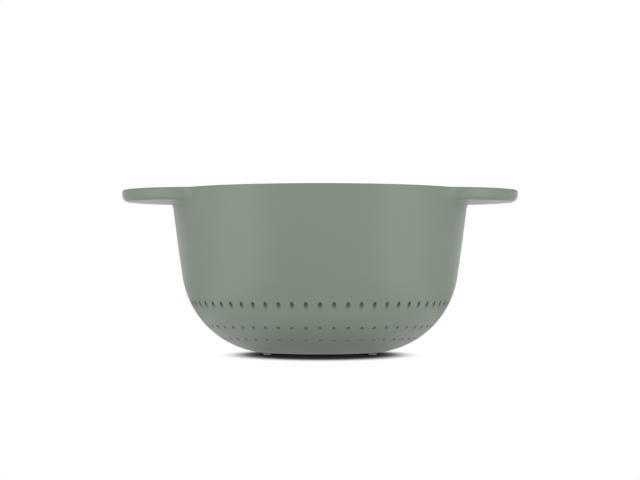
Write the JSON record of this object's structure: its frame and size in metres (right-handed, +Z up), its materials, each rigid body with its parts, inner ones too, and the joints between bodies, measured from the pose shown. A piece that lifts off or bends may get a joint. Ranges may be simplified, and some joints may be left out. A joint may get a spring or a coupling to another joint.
{
  "type": "colander",
  "caption": "Round deep colander with upright drain holes in rings, two flat lug handles level with the rim and small push-in button feet.",
  "frame": {"origin": "on the surface that the feet stand on, on the bowl's vertical axis", "axes": "+Z up along the bowl's axis, X along the line through both handles, front towards -Y"},
  "size_m": [0.3206, 0.2406, 0.132],
  "materials": {
    "body": "satin moulded polypropylene, sage grey-green, very fine mould texture",
    "foot": "matt non-slip elastomer, in the body's colour"
  },
  "bodies": {
    "root": {"bowl": "body", "foot_front_left": "foot", "foot_front_right": "foot", "foot_back": "foot"}
  },
  "joints": []
}
